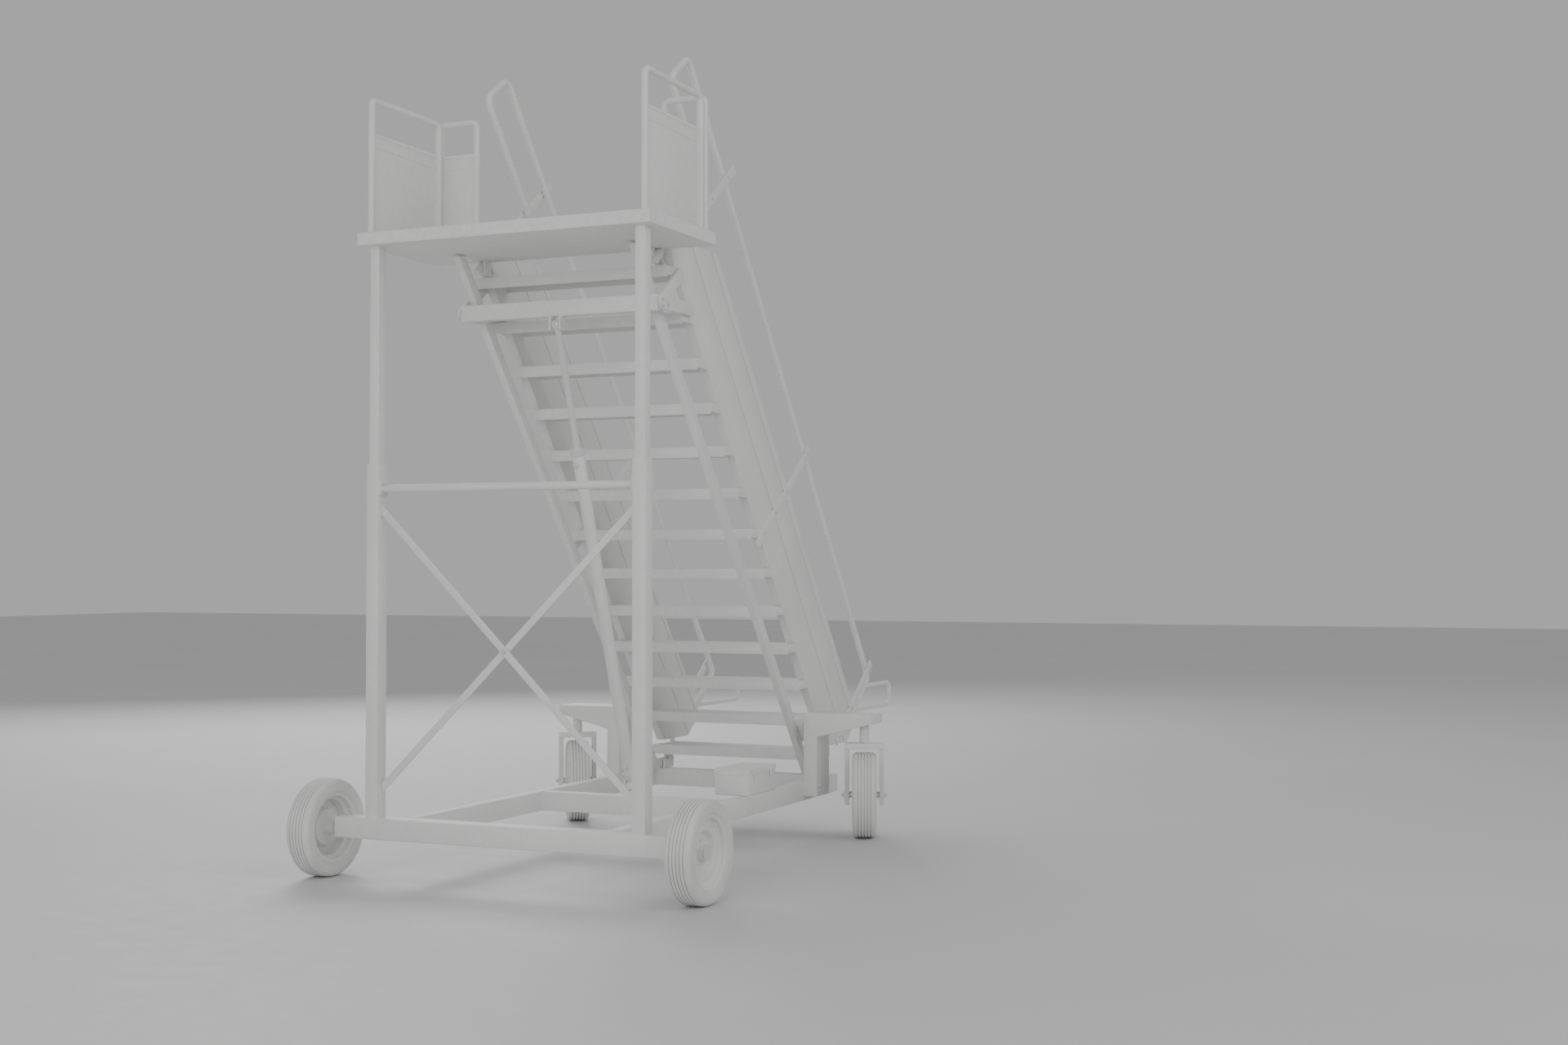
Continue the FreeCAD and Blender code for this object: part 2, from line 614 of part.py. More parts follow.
def platform():
    width = ("-deck_across", "deck_across")
    depth = ("deck_front", "deck_rear")
    layer = ("deck_low + deck_soffit", "deck_high - deck_plate")
    inside = ("deck_front + deck_rim", "deck_rear - deck_rim")
    edges = [block(width, ("deck_front", inside[0]), layer), block(width, (inside[1], "deck_rear"), layer)]
    edges += [block(across(side, "deck_across - deck_rim", "deck_across"), inside, layer)
              for side in SIDES.values()]
    ribs = [block((f"{x} - deck_rim / 2", f"{x} + deck_rim / 2"), inside, layer) for x in (-375, 0, 375)]
    piece("deck_frame", group(edges + ribs))
    posts_at = [("guard_across", "guard_front"), ("guard_across", "guard_rear"),
                ("wing_inner", "wing_line"), ("wing_outer", "wing_line")]
    sockets = [round_z(f"{side} * {x}", y, ("deck_low", "deck_high + 1"), "guard_radius + 0.3")
               for side in SIDES.values() for x, y in posts_at]
    piece("deck_plate", cut(block(width, depth, ("deck_high - deck_plate", "deck_high")), *sockets))
    piece("deck_soffit", block(width, depth, ("deck_low", "deck_low + deck_soffit")))
    for name, side in SIDES.items():
        wide = across(side, "post_across - inner_wide", "post_across + inner_wide")
        tube = hollow(wide, ("-inner_deep", "inner_deep"), ("inner_low", "deck_low"), "post_wall", "z")
        piece(f"inner_post_{name}", tube)
    guards()
    hinge_plates()
    knees = []
    for side in SIDES.values():
        bar = tilted(across(side, "482", "512"), ("535", "2925"), "200", "30", "45")
        knees.append(cut(bar, block(("-600", "600"), ("400", "800"), ("deck_low", "deck_high + 100"))))
    piece("knee_braces", group(knees))


def guards():
    """Side guards, return guards and their infill panels."""
    clear = "(guard_radius + 0.3)"
    foot = "deck_high - deck_plate"
    height = ("deck_high + 4", "panel_high")
    wings, side_panels, return_panels = [], [], []
    for name, side in SIDES.items():
        x = f"{side} * guard_across"
        frame = [(x, "guard_front", foot), (x, "guard_front", "guard_high"),
                 (x, "guard_rear", "guard_high"), (x, "guard_rear", foot)]
        piece(f"side_guard_{name}", bent_tube(frame, "guard_radius", "guard_wall", "guard_bend"))
        near, far = f"{side} * wing_inner", f"{side} * wing_outer"
        frame = [(far, "wing_line", foot), (far, "wing_line", "guard_high"),
                 (near, "wing_line", "guard_high"), (near, "wing_line", foot)]
        wings.append(bent_tube(frame, "guard_radius", "guard_wall", "guard_bend"))
        span = across(side, "guard_across - panel_half", "guard_across + panel_half")
        side_panels.append(block(span, (f"guard_front + {clear}", f"guard_rear - {clear}"), height))
        span = across(side, f"wing_inner + {clear}", f"wing_outer - {clear}")
        return_panels.append(block(span, ("wing_line - panel_half", "wing_line + panel_half"), height))
    piece("return_guards", group(wings))
    piece("side_panels", group(side_panels))
    piece("return_panels", group(return_panels))


def hinge_plates():
    """Two plates below the rear edge of the platform take the upper pins of the flight."""
    plates = []
    for side in SIDES.values():
        span = across(side, "468", "480")
        plate = block(span, ("head_back - 70", "head_back"), ("head_up - 30", "deck_low"))
        tail = block(span, ("head_back - 70", "deck_rear"), ("head_up - 30", "deck_low"))
        nose = round_x(span, "head_back", "head_up", "30")
        bore = round_x(across(side, "467", "481"), "head_back", "head_up", "head_pin + hinge_gap")
        plates.append(cut(fuse(plate, tail, nose), bore))
    piece("hinge_plates", group(plates))


# ---- lifting sub-frame ----

def sub_frame():
    beam_room = ("cross_front", "cross_rear"), ("cross_low", "cross_high")
    for name, side in SIDES.items():
        span = across(side, "rail_inner", "rail_outer")
        run = ("-150", "rail_foot")
        shell = slab(span, run, ("rail_under", "rail_over"))
        room = slab(across(side, "rail_inner + rail_sheet", "rail_outer - rail_sheet"),
                    ("-151", "rail_foot - 90"), ("rail_under + rail_sheet", "rail_over - rail_sheet"))
        overhead = block(("-600", "600"), ("0", "900"), ("deck_low - 15", "deck_high + 200"))
        tongue = across(side, "rail_inner + 13", "rail_outer - 13")
        link = block(tongue, ("foot_back - 205", "foot_back"), ("foot_up - 45", "foot_up + 10"))
        eye = round_x(tongue, "foot_back", "foot_up", "26")
        bore = round_x(span, "foot_back", "foot_up", "foot_pin + running_gap")
        rail = cut(cut(shell, room), overhead, block(("-600", "600"), *beam_room))
        piece(f"sub_rail_{name}", cut(fuse(rail, link, eye), bore))
    piece("guide_arms", group([guide_arm(side) for side in SIDES.values()]))
    beam = hollow(("-cross_half", "cross_half"), *beam_room, "frame_wall", "x")
    caps = [block(across(side, "cross_half - frame_wall", "cross_half"), *beam_room) for side in SIDES.values()]
    piece("lift_cross_beam", fuse(beam, *caps))
    plates = []
    for side in SIDES.values():
        upright = block(across(side, "22", "32"), ("lift_head_back - 26", "lift_head_back + 26"),
                        ("lift_head_up - 26", "cross_low"))
        bore = round_x(across(side, "21", "33"), "lift_head_back", "lift_head_up", "head_pin + running_gap")
        plates.append(cut(upright, bore))
    piece("lift_head_lugs", group(plates))
    piece("lift_head_pin", round_x(("-38", "38"), "lift_head_back", "lift_head_up", "head_pin"))
    shoes = [slab(across(side, "rail_inner", "532"), ("2950", "3070"), ("rail_over", "-shoe_gap"))
             for side in SIDES.values()]
    piece("foot_shoes", group(shoes))


def guide_arm(side):
    """A V-shaped plate at the end of the cross-beam that holds the stringer from outside."""
    corners = [("440", "2736"), ("486", "2697"), ("806", "2703"), ("806", "2760"),
               ("648", "2766"), ("622", "2807"), ("709", "2874"), ("674", "2924")]
    body = doc.addObject("PartDesign::Body", "Arm")
    sketch = outline(body, "YZ_Plane", corners)
    pad = body.newObject("PartDesign::Pad", "Thickness")
    pad.Profile = sketch
    pad.setExpression("Length", ref("arm_outer - cross_half"))
    sketch.Visibility = False
    body.setExpression("Placement.Base.x", ref("cross_half" if side == RIGHT else "-arm_outer"))
    return body


# ---- flight ----

def box_section(side, inset):
    """The outer shape of a stringer, or its inside when every face is moved in."""
    bar = slab(across(side, f"stringer_inner + {inset}", f"stringer_outer - {inset}"), ("-200", "3600"),
               (f"stringer_low + {inset}", f"stringer_high - {inset}"))
    wide = ("-700", "700")
    below = block(wide, ("1500", "4500"), ("-400", f"flight_foot + {inset}"))
    end = slab(wide, (f"stringer_end - {inset}", "4000"), ("-300", "900"))
    above = block(wide, ("-500", "2500"), (f"flight_crown - {inset}", "flight_crown + 900"))
    under_deck = block(wide, ("-500", f"deck_rear + 14 + {inset}"), (f"deck_low - 45 - {inset}", "flight_crown + 1"))
    return cut(bar, below, end, above, under_deck)


def stringer(name, side):
    grooves = []
    for out, half, low, high in (("290", "seam_half", "stringer_outer - seam_deep", "stringer_outer + 1"),
                                 ("465", "seam_half", "stringer_outer - seam_deep", "stringer_outer + 1"),
                                 ("331", "seam_fine", "stringer_inner - 1", "stringer_inner + seam_deep"),
                                 ("492", "seam_fine", "stringer_inner - 1", "stringer_inner + seam_deep")):
        grooves.append(slab(across(side, low, high), ("-201", "3601"), (f"{out} - {half}", f"{out} + {half}")))
    shell = cut(box_section(side, "0"), box_section(side, "stringer_wall"), *grooves)
    lug = slab(across(side, "482", "stringer_inner"), ("82", "125"), ("45", "120"))
    bore = round_x(across(side, "481", "stringer_inner"), "head_back", "head_up", "head_pin + running_gap")
    piece(f"stringer_{name}", fuse(shell, cut(lug, bore)))


def treads():
    """Channel-shaped treads whose backs pass below the stringers at their full width."""
    solids = []
    width = ("-tread_reach", "tread_reach")
    count = int(value("tread_count"))
    for number in range(count):
        top = f"(tread_first - {number} * tread_rise)"
        back = f"(flight_back + (flight_up - {top}) / tan(slope) + 2)"
        outer = block(width, (back, f"{back} + tread_deep"), (f"{top} - tread_back", top))
        inside = block(("-tread_reach - 1", "tread_reach + 1"),
                       (f"{back} + tread_sheet", f"{back} + tread_deep - tread_sheet"),
                       (f"{top} - tread_back - 1", f"{top} - tread_sheet"))
        shorten = block(("-tread_reach - 1", "tread_reach + 1"), (f"{back} + 30", f"{back} + tread_deep + 1"),
                        (f"{top} - tread_back - 1", f"{top} - tread_front"))
        plates = [block(across(side, "tread_reach - tread_sheet", "tread_reach"), (back, f"{back} + 130"),
                        (f"{top} - tread_front", top)) for side in SIDES.values()]
        end_x = "stringer_inner - tread_sheet", "stringer_inner"
        inner = (f"{back} + 150", f"{back} + tread_deep"), (f"{top} - tread_front", top)
        plates += [block(across(side, *end_x), *inner) for side in SIDES.values()]
        if number == count - 1:
            plates += [block(across(side, *end_x), (f"{back} + 150", f"{back} + 205"), (f"{top} - 10", f"{top} + 30"))
                       for side in SIDES.values()]
        beside = [slab(across(side, "stringer_inner", "tread_reach + 1"), ("0", "3700"), ("stringer_low", "700"))
                  for side in SIDES.values()]
        solids.append(cut(fuse(cut(outer, inside, shorten), *plates), *beside))
    piece("treads", group(solids))


def handrail(name, side):
    x = f"{side} * rail_across"
    route = [("bar_upper", "return_out"), ("rail_start", "return_out"), ("rail_start", "rail_out"),
             ("rail_end", "rail_out"), ("rail_end", "stringer_high")]
    corners = [(x, *flight_point(along, out)) for along, out in route]
    piece(f"handrail_{name}", bent_tube(corners, "rail_radius", "rail_wall", "rail_bend"))


def stanchions():
    bars = []
    spacers_at = {"bar_upper": ("return_out", "rail_out"), "bar_middle": ("rail_out",), "bar_lower": ("rail_out",)}
    reach = {"bar_upper": ("260", "962"), "bar_middle": ("0", "892"), "bar_lower": ("190", "898")}
    for side in SIDES.values():
        for where, out in reach.items():
            span = across(side, "stringer_outer", "stringer_outer + bar_thick")
            bar = slab(span, (f"{where} - bar_half", f"{where} + bar_half"), out)
            stubs = [round_x(across(side, "rail_across + rail_radius + 0.3", "stringer_outer"),
                             *flight_point(where, rail), "8") for rail in spacers_at[where]]
            bars.append(fuse(bar, *stubs))
    piece("stanchions", group(bars))


def grab_loops():
    """Level loops behind the foot of each handrail, to pull the ladder by."""
    loops = []
    for side in SIDES.values():
        x = f"{side} * rail_across"
        corners = [(x, "3215", "loop_high"), (x, "loop_end", "loop_high"), (x, "loop_end", "loop_low"),
                   (x, "3040", "loop_low")]
        foot = doc.addObject("Part::Cylinder", "Round")
        foot.Placement.Rotation = Rotation(Vector(-1, 0, 0), value("slope"))
        foot.setExpression("Placement.Rotation.Angle", ref("slope"))
        foot.setExpression("Height", ref("rail_out - stringer_high"))
        foot.setExpression("Radius", ref("rail_radius + 0.3"))
        bind_base(foot, x, *flight_point("rail_end", "stringer_high"))
        loops.append(cut(bent_tube(corners, "loop_radius", "guard_wall", "35"), foot))
    piece("grab_loops", group(loops))


def flight():
    for name, side in SIDES.items():
        stringer(name, side)
        handrail(name, side)
    treads()
    stanchions()
    grab_loops()
    pins = [round_x(across(side, "464", "stringer_inner"), "head_back", "head_up", "head_pin")
            for side in SIDES.values()]
    piece("head_pins", group(pins))


# ---- lift cylinder ----

def lift():
    eye = round_x(("-20", "20"), "lift_foot_back", "lift_foot_up", "27")
    neck = round_lift("10", "50", "18")
    tube = round_lift("45", "barrel_end", "barrel_radius")
    room = round_lift("80", "barrel_end - 45", "barrel_bore")
    gland = round_lift("barrel_end - 46", "barrel_end + 1", "lift_rod + running_gap")
    bore = round_x(("-21", "21"), "lift_foot_back", "lift_foot_up", "foot_pin + running_gap")
    piece("lift_barrel", cut(fuse(eye, neck, tube), room, gland, bore))
    length = f"((lift_foot_back - lift_head_back) / sin({LIFT_LEAN}))"
    stem = round_lift("700", f"{length} - 12", "lift_rod")
    piston = round_lift("680", "740", "barrel_bore - running_gap")
    eye = round_x(("-18", "18"), "lift_head_back", "lift_head_up", "24")
    bore = round_x(("-19", "19"), "lift_head_back", "lift_head_up", "head_pin + eye_gap")
    piece("lift_rod", cut(fuse(stem, piston, eye), bore))


chassis()
posts()
for name, side in SIDES.items():
    swivel_bracket(name, side)
    front_wheel(name, side)
    rear_wheel(name, side)
pivot_lugs()
platform()
sub_frame()
flight()
lift()
doc.recompute()

faults = [item.Label for item in doc.Objects if {"Invalid", "Error"} & set(item.State)]
faults += [item.Label for item in pieces if item.Shape.isNull() or not item.Shape.isValid()]
if faults:
    raise RuntimeError(f"failed objects: {faults}")

os.makedirs("parts", exist_ok=True)
for item in pieces:
    item.Shape.exportStep(f"parts/{item.Label}.step")
print(len(pieces), "parts written")
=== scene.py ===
"""Rolling warehouse ladder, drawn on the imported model's frame.  Metres, +Z up."""
import json
import math

import bmesh
import bpy
from mathutils import Matrix, Vector


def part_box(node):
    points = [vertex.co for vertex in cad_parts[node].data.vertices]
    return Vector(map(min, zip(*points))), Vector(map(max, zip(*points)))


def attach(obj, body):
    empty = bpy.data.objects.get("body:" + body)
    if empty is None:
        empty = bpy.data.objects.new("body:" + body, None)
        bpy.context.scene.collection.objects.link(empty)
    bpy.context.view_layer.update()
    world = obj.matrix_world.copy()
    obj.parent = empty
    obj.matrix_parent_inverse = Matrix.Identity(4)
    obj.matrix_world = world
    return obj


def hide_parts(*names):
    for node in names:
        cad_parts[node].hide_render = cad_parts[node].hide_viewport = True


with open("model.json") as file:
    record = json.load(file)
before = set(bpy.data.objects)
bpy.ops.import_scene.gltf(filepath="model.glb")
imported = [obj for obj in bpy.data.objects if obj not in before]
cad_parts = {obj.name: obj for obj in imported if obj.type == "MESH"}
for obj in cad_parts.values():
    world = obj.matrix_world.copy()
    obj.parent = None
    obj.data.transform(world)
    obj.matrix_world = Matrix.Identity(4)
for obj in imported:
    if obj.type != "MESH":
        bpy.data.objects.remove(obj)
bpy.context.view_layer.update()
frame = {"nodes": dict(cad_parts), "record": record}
record = frame["record"]

# ---- camera ----
axle_low, axle_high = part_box("front_axle_beam")
front_axle = (axle_low[1] + axle_high[1]) / 2

camera_data = bpy.data.cameras.new("camera")
camera_data.sensor_width = 36
camera_data.lens = 43.35
camera = bpy.data.objects.new("camera", camera_data)
bpy.context.scene.collection.objects.link(camera)
camera.location = (4.6577, front_axle - 7.4360, 1.4736)
camera.rotation_euler = (math.radians(91.3773), 0, math.radians(23.6632))
bpy.context.scene.camera = camera


# ---- materials ----

def coat(name, shade, rough, spread=0.04, grain=260, bump=0.12, patches=2.2, metallic=0.0, worn=1.12):
    """Matte paint: soft patches of tone, a fine grain, uneven gloss and lighter rubbed edges."""
    material = bpy.data.materials.new(name)
    material.use_nodes = True
    tree = material.node_tree
    new, link = tree.nodes.new, tree.links.new
    shader = tree.nodes["Principled BSDF"]
    shader.inputs["Metallic"].default_value = metallic
    where = new("ShaderNodeTexCoord")

    def noise(scale, detail):
        node = new("ShaderNodeTexNoise")
        node.inputs["Scale"].default_value = scale
        node.inputs["Detail"].default_value = detail
        link(where.outputs["Object"], node.inputs["Vector"])
        return node

    def ramp(source, stops):
        node = new("ShaderNodeValToRGB")
        for element, (place, level) in zip(node.color_ramp.elements, stops):
            element.position = place
            element.color = (*[min(1, part * level) for part in shade], 1)
        link(source, node.inputs["Fac"])
        return node

    tone = ramp(noise(patches, 6).outputs["Fac"], ((0.32, 1 - spread), (0.68, 1 + spread)))
    rubbed = ramp(noise(31, 5).outputs["Fac"], ((0.4, 1.0), (0.62, worn)))
    shape = new("ShaderNodeNewGeometry")
    edge = new("ShaderNodeMapRange")
    edge.inputs["From Min"].default_value = 0.53
    edge.inputs["From Max"].default_value = 0.62
    edge.inputs["To Max"].default_value = 0.6
    link(shape.outputs["Pointiness"], edge.inputs["Value"])
    mixed = new("ShaderNodeMix")
    mixed.data_type = "RGBA"
    link(edge.outputs["Result"], mixed.inputs["Factor"])
    link(tone.outputs["Color"], mixed.inputs["A"])
    link(rubbed.outputs["Color"], mixed.inputs["B"])
    link(mixed.outputs["Result"], shader.inputs["Base Color"])
    gloss = new("ShaderNodeMapRange")
    gloss.inputs["To Min"].default_value = rough - 0.08
    gloss.inputs["To Max"].default_value = rough + 0.08
    link(noise(7.5, 4).outputs["Fac"], gloss.inputs["Value"])
    link(gloss.outputs["Result"], shader.inputs["Roughness"])
    relief = new("ShaderNodeBump")
    relief.inputs["Strength"].default_value = bump
    relief.inputs["Distance"].default_value = 0.0006
    link(noise(grain, 3).outputs["Fac"], relief.inputs["Height"])
    link(relief.outputs["Normal"], shader.inputs["Normal"])
    return material


COATS = {
    "frame_paint": coat("frame_paint", (0.80, 0.80, 0.79), 0.58),
    "flight_paint": coat("flight_paint", (0.80, 0.80, 0.79), 0.60, spread=0.035, patches=1.6),
    "deck_paint": coat("deck_paint", (0.79, 0.79, 0.78), 0.64, spread=0.05, grain=180, bump=0.18),
    "guard_paint": coat("guard_paint", (0.81, 0.81, 0.80), 0.55),
    "panel_paint": coat("panel_paint", (0.81, 0.81, 0.80), 0.57, spread=0.03, patches=1.2),
    "rim_paint": coat("rim_paint", (0.80, 0.80, 0.79), 0.5, spread=0.05, patches=5),
    "tyre_rubber": coat("tyre_rubber", (0.74, 0.74, 0.73), 0.8, spread=0.05, grain=420, bump=0.3, patches=6),
    "bright_steel": coat("bright_steel", (0.72, 0.72, 0.72), 0.42, spread=0.06, patches=14, metallic=0.25),
    "rod_chrome": coat("rod_chrome", (0.80, 0.80, 0.80), 0.3, spread=0.03, bump=0.04, metallic=0.35),
    "slide_plastic": coat("slide_plastic", (0.70, 0.70, 0.69), 0.6, grain=350, bump=0.2),
}
SLOT_OF = {item["node"]: item["material_slot"] for item in record["subparts"]}
BODY_OF = {node: body for body, nodes in record["behaviour"]["bodies"].items() for node in nodes}
JOINT = {joint["name"]: joint for joint in record["behaviour"]["joints"]}


# ---- pieces ----

def finish_piece(name, bm, body, slot, smooth=32, replaced=()):
    """Turn a bmesh into a piece that rides on a body and wears a slot's finish."""
    bmesh.ops.recalc_face_normals(bm, faces=bm.faces)
    mesh = bpy.data.meshes.new(name)
    bm.to_mesh(mesh)
    bm.free()
    mesh.polygons.foreach_set("use_smooth", [True] * len(mesh.polygons))
    mesh.set_sharp_from_angle(angle=math.radians(smooth))
    thing = bpy.data.objects.new(name, mesh)
    bpy.context.scene.collection.objects.link(thing)
    mesh.materials.append(COATS[slot])
    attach(thing, body)
    if replaced:
        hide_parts(*replaced)


def refined(node, width):
    """The CAD shape with its sharp edges rounded, as pressed sheet and welded tube have them."""
    bm = bmesh.new()
    bm.from_mesh(frame["nodes"][node].data)
    bmesh.ops.remove_doubles(bm, verts=bm.verts, dist=2e-5)
    bmesh.ops.dissolve_limit(bm, angle_limit=math.radians(0.5), verts=bm.verts, edges=bm.edges)
    sharp = [edge for edge in bm.edges if len(edge.link_faces) == 2
             and edge.calc_face_angle(0) > math.radians(38)]
    bmesh.ops.bevel(bm, geom=sharp, offset=width, segments=2, profile=0.5, affect="EDGES",
                    clamp_overlap=True)
    finish_piece(f"{node}_shell", bm, BODY_OF[node], SLOT_OF[node], replaced=(node,))


def turn_from(axis):
    """A rotation that takes +X to the given axis."""
    return Vector((1, 0, 0)).rotation_difference(Vector(axis)).to_matrix().to_4x4()


def lathe(bm, profile, centre, axis, steps=96, closed=True):
    """Turn (axial, radial) points round an axis through the centre."""
    place = Matrix.Translation(centre) @ turn_from(axis)
    rings = []
    for step in range(steps):
        angle = 2 * math.pi * step / steps
        rings.append([bm.verts.new(place @ Vector((a, r * math.cos(angle), r * math.sin(angle))))
                      for a, r in profile])
    count = len(profile)
    for step, ring in enumerate(rings):
        following = rings[(step + 1) % steps]
        for i in range(count if closed else count - 1):
            j = (i + 1) % count
            bm.faces.new((ring[i], ring[j], following[j], following[i]))
    if not closed:
        bm.faces.new([ring[0] for ring in rings])
        bm.faces.new([ring[-1] for ring in reversed(rings)])


def box(bm, low, high, chamfer):
    """A block with chamfered edges."""
    low, high = Vector(low), Vector(high)
    place = Matrix.Translation((low + high) / 2) @ Matrix.Diagonal((*(high - low), 1))
    made = bmesh.ops.create_cube(bm, size=1, matrix=place)
    edges = list({edge for vert in made["verts"] for edge in vert.link_edges})
    bmesh.ops.bevel(bm, geom=edges, offset=chamfer, segments=1, profile=0.5, affect="EDGES",
                    clamp_overlap=True)


def disc_stack(bm, centre, axis, layers, sides):
    """Turned layers given as (height, radius) pairs along the axis, closed at both ends."""
    lathe(bm, layers, centre, axis, steps=sides, closed=False)


def bolt(bm, centre, axis, size=0.008):
    """Washer, hexagon head with a chamfer and a rounded stud end."""
    centre, axis = Vector(centre), Vector(axis).normalized()
    disc_stack(bm, centre, axis, [(0, size * 1.5), (size * 0.2, size * 1.5), (size * 0.28, size * 1.4)], 20)
    head = [(size * 0.28, size * 0.98), (size * 0.3, size), (size * 0.85, size), (size * 0.98, size * 0.86)]
    disc_stack(bm, centre, axis, head, 6)
    stud = [(size * 0.98, size * 0.5), (size * 1.3, size * 0.5), (size * 1.42, size * 0.38)]
    disc_stack(bm, centre, axis, stud, 12)


def weld(bm, points, radius=0.003, closed=True, pitch=0.006):
    """A rippled bead laid along straight runs between points."""
    points = [Vector(point) for point in points]
    runs = list(zip(points, points[1:] + points[:1])) if closed else list(zip(points, points[1:]))
    path = []
    for start, end in runs:
        steps = max(1, round((end - start).length / pitch))
        path += [start.lerp(end, i / steps) for i in range(steps)]
    if not closed:
        path.append(points[-1])
    rings = []
    for i, point in enumerate(path):
        after = path[(i + 1) % len(path)] if closed else path[min(i + 1, len(path) - 1)]
        before = path[i - 1] if closed else path[max(i - 1, 0)]
        ahead = (after - before).normalized()
        upright = abs(ahead.z) > 0.9
        side = (ahead.orthogonal() if upright else ahead.cross(Vector((0, 0, 1)))).normalized()
        up = ahead.cross(side)
        size = radius * (1.0 + 0.14 * (i % 2))
        rings.append([bm.verts.new(point + side * math.cos(a) * size + up * math.sin(a) * size)
                      for a in (2 * math.pi * k / 6 for k in range(6))])
    pairs = list(zip(rings, rings[1:] + rings[:1])) if closed else list(zip(rings, rings[1:]))
    for ring, following in pairs:
        for k in range(6):
            bm.faces.new((ring[k], ring[(k + 1) % 6], following[(k + 1) % 6], following[k]))
    if not closed:
        bm.faces.new(rings[0])
        bm.faces.new(list(reversed(rings[-1])))


def circle(centre, axis, radius, count=18):
    """Points round a circle that stands square to the axis."""
    place = Matrix.Translation(Vector(centre)) @ turn_from(axis)
    return [place @ Vector((0, radius * math.cos(a), radius * math.sin(a)))
            for a in (2 * math.pi * k / count for k in range(count))]


def flat_ring(low, high, z):
    """The corners of a level rectangle round a box's footprint."""
    return [(low[0], low[1], z), (high[0], low[1], z), (high[0], high[1], z), (low[0], high[1], z)]


def upright_ring(x, front, rear, low, high):
    """The corners of an upright rectangle that stands square to X."""
    return [(x, front, low), (x, rear, low), (x, rear, high), (x, front, high)]


SIDES = (("left", -1), ("right", 1))

# places on the CAD: X from the middle plane, Y behind the front axle, Z above the floor
AXLE_STUB_X, BRACKET_LEG_X, BRACKET_BOLT_ZS = 0.913, 0.655, (0.25, 0.275)
CROSS_MEMBER_YS, CROSS_MEMBER_WIDTH = (1.2, 2.5), 0.06
TIE_BOLT_X, TIE_BOLT_YS, TIE_BOLTS = 0.671, (-0.016, 0.020), ((1.872, 0.006), (1.826, 0.005))
PIVOT_LUG_FACES = ((0.458, -1), (0.512, 1))
GUARD_X, GUARD_FRONT, GUARD_REAR = 0.734, -0.026, 0.533
WING_XS, WING_Y = (0.528, 0.742), 0.565
PANEL_LOW, PANEL_HIGH = 3.067, 3.548
TIE_LUG_X, TIE_LUG_FRONT, TIE_LUG_REAR, TIE_LUG_LOW, TIE_LUG_HIGH = 0.679, -0.03, 0.034, 1.818, 1.886
BRACE_CROSSING = (0.43 + 1.75) / 2
SIDE_PANEL_YS, WING_PANEL_XS = (-0.0097, 0.5167), (0.5443, 0.7257)
DECK_TOP, SLOPE_TOP_Y, TREAD_BACK_Y = 3.0, 0.505, 0.507
STRINGER_X, SUB_RAIL_X, STANCHION_X, HANDRAIL_X = 0.4965, 0.518, 0.550, 0.5195
TREADS, FIRST_TREAD, RISE = 13, 2.9214, 0.2073
SLIDE_X, SLIDE_BOLTS = 0.565, ((0.475, 2.715), (0.475, 2.745), (0.53, 2.725))
CYLINDER_FOOT, CYLINDER_HEAD, BARREL_LENGTH = (1.23, 0.345), (0.46, 2.65), 1.805

# ---- CAD shapes with softened edges: all but the wheels, which are turned below, and two kept as drawn ----
SHEET_EDGE = 0.0012
WIDE = {"front_axle_beam": 0.006, "cross_members": 0.005, "power_pack": 0.006, "lift_cross_beam": 0.005,
        "guide_arms": 0.003, "stanchions": 0.002, "hub_caps": 0.003, "lift_barrel": 0.002}
for side in ("left", "right"):
    WIDE |= {f"side_beam_{side}": 0.005, f"outer_post_{side}": 0.005, f"inner_post_{side}": 0.004,
             f"swivel_bracket_{side}": 0.006, f"swivel_fork_{side}": 0.004, f"sub_rail_{side}": 0.004,
             f"stringer_{side}": 0.0018}
AS_DRAWN = ("deck_frame", "slide_collars")
TURNED = {node for node in frame["nodes"] if node.startswith(("tyre_", "rim_"))}
for node in sorted(set(frame["nodes"]) - TURNED - set(AS_DRAWN)):
    refined(node, WIDE.get(node, SHEET_EDGE))
for node in AS_DRAWN:
    frame["nodes"][node].data.materials.clear()
    frame["nodes"][node].data.materials.append(COATS[SLOT_OF[node]])

# ---- wheels ----
TYRE_RADIUS = 0.2325
GROOVES = (-0.034, -0.017, 0, 0.017, 0.034)
GROOVE_SIDE = ((0.0034, 0), (0.0026, 0.001), (0.0022, 0.007))
WALL = [(0.0486, 0.1583), (0.0506, 0.1654), (0.0564, 0.1654), (0.0598, 0.1700), (0.0618, 0.1745),
        (0.0631, 0.1752), (0.0634, 0.1775), (0.0626, 0.1790), (0.0641, 0.1860), (0.0649, 0.1940),
        (0.0650, 0.2010), (0.0643, 0.2060), (0.0634, 0.2066), (0.0634, 0.2086), (0.0639, 0.2098),
        (0.0622, 0.2165), (0.0590, 0.2215), (0.0545, 0.2258), (0.0500, 0.2286), (0.0450, 0.2306)]


def tyre(name, body, centre, axis):
    """Two walls and a crowned tread with grooves, turned in one piece."""
    profile = [(-a, r) for a, r in WALL]
    for groove in GROOVES:
        top = TYRE_RADIUS - 0.0015 * (groove / 0.046) ** 2
        profile += [(groove - half, top - drop) for half, drop in GROOVE_SIDE]
        profile += [(groove + half, top - drop) for half, drop in reversed(GROOVE_SIDE)]
    profile += [(a, r) for a, r in reversed(WALL)]
    bm = bmesh.new()
    lathe(bm, profile, centre, axis, steps=128)
    finish_piece(f"{name}_rubber", bm, body, "tyre_rubber", smooth=40, replaced=(name,))


